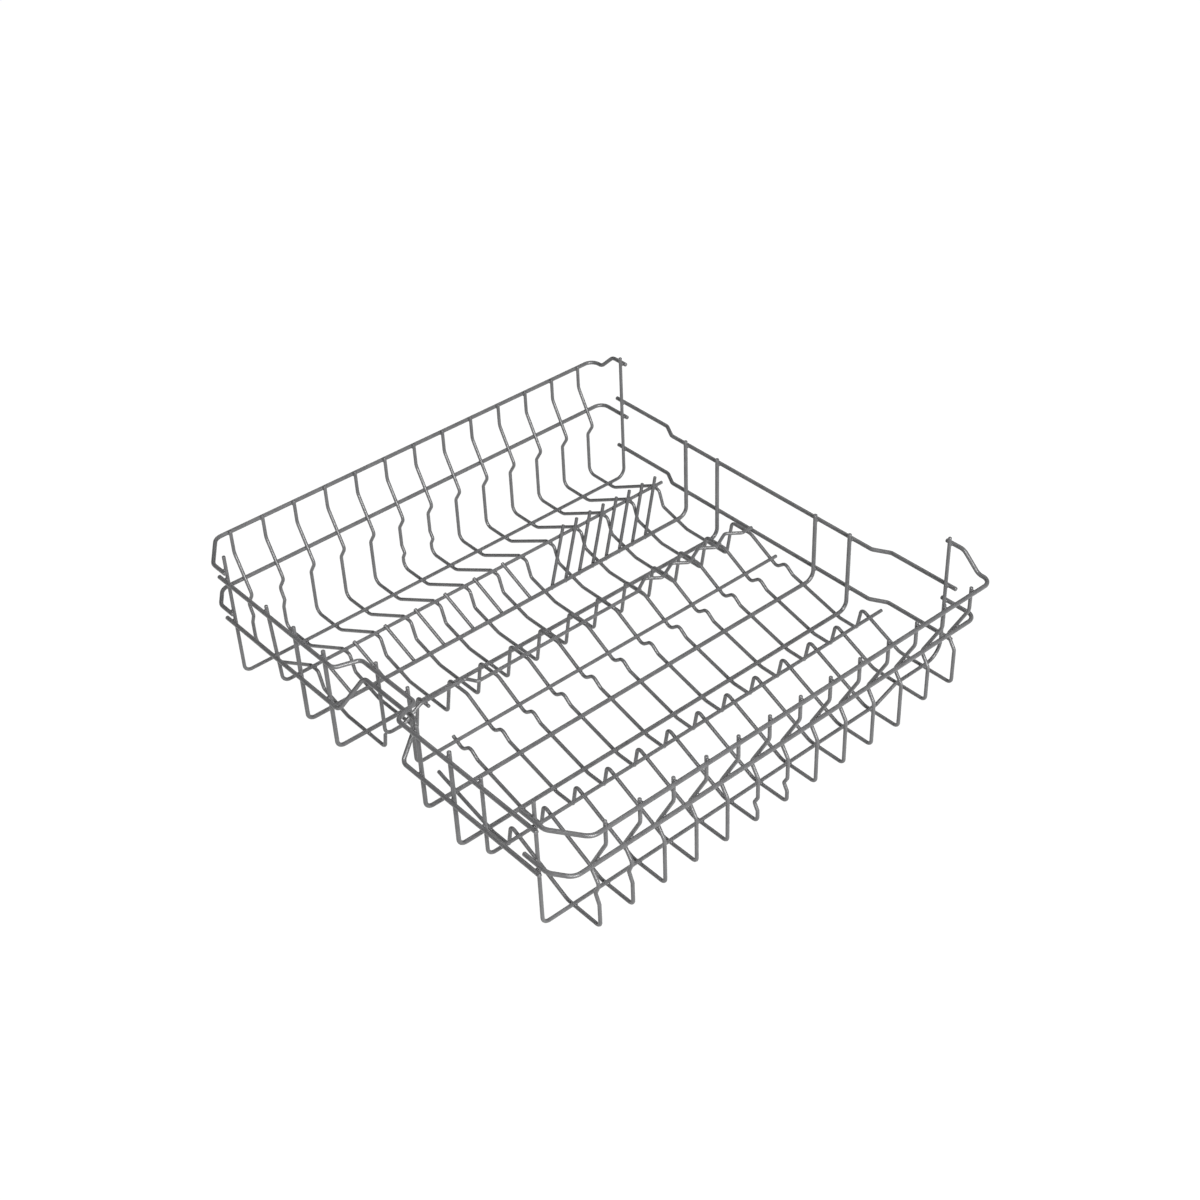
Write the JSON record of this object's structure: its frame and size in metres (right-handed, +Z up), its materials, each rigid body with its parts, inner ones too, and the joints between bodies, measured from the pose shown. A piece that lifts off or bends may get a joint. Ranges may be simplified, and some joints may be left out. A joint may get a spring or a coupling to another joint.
{
  "type": "dishwasher basket",
  "caption": "Welded upper dishwasher basket of grey coated wire: flared side walls, stepped floor with rows of slanted pins, and rails with a recess at the back",
  "frame": {"origin": "middle of the overall box, on the surface the basket rests on", "axes": "+X to the right side seen from the front, +Y to the back with the recess, +Z up"},
  "size_m": [0.534, 0.4844, 0.1477],
  "materials": {
    "grey_coating": "semi-gloss dipped plastic over steel wire"
  },
  "bodies": {
    "root": {"back_lower_rail": "grey_coating", "back_tine_1": "grey_coating", "back_tine_2": "grey_coating", "back_tine_3": "grey_coating", "back_tine_4": "grey_coating", "back_tine_5": "grey_coating", "back_tine_6": "grey_coating", "back_tine_7": "grey_coating", "back_top_rail": "grey_coating", "cross_wire_10": "grey_coating", "cross_wire_11": "grey_coating", "cross_wire_12": "grey_coating", "cross_wire_13": "grey_coating", "cross_wire_1_left": "grey_coating", "cross_wire_1_right": "grey_coating", "cross_wire_2_left": "grey_coating", "cross_wire_2_right": "grey_coating", "cross_wire_3": "grey_coating", "cross_wire_4": "grey_coating", "cross_wire_5": "grey_coating", "cross_wire_6": "grey_coating", "cross_wire_7": "grey_coating", "cross_wire_8": "grey_coating", "cross_wire_9": "grey_coating", "front_lower_rail": "grey_coating", "front_tine_1": "grey_coating", "front_tine_2": "grey_coating", "front_tine_3": "grey_coating", "front_tine_4": "grey_coating", "front_tine_5": "grey_coating", "front_tine_6": "grey_coating", "front_tine_7": "grey_coating", "front_tine_8": "grey_coating", "front_top_rail": "grey_coating", "left_lower_rail": "grey_coating", "left_top_rail": "grey_coating", "long_wire_1": "grey_coating", "long_wire_10": "grey_coating", "long_wire_2": "grey_coating", "long_wire_3": "grey_coating", "long_wire_4": "grey_coating", "long_wire_5": "grey_coating", "long_wire_6": "grey_coating", "long_wire_7": "grey_coating", "long_wire_8": "grey_coating", "long_wire_9": "grey_coating", "right_lower_rail": "grey_coating", "right_top_rail": "grey_coating"}
  },
  "joints": []
}
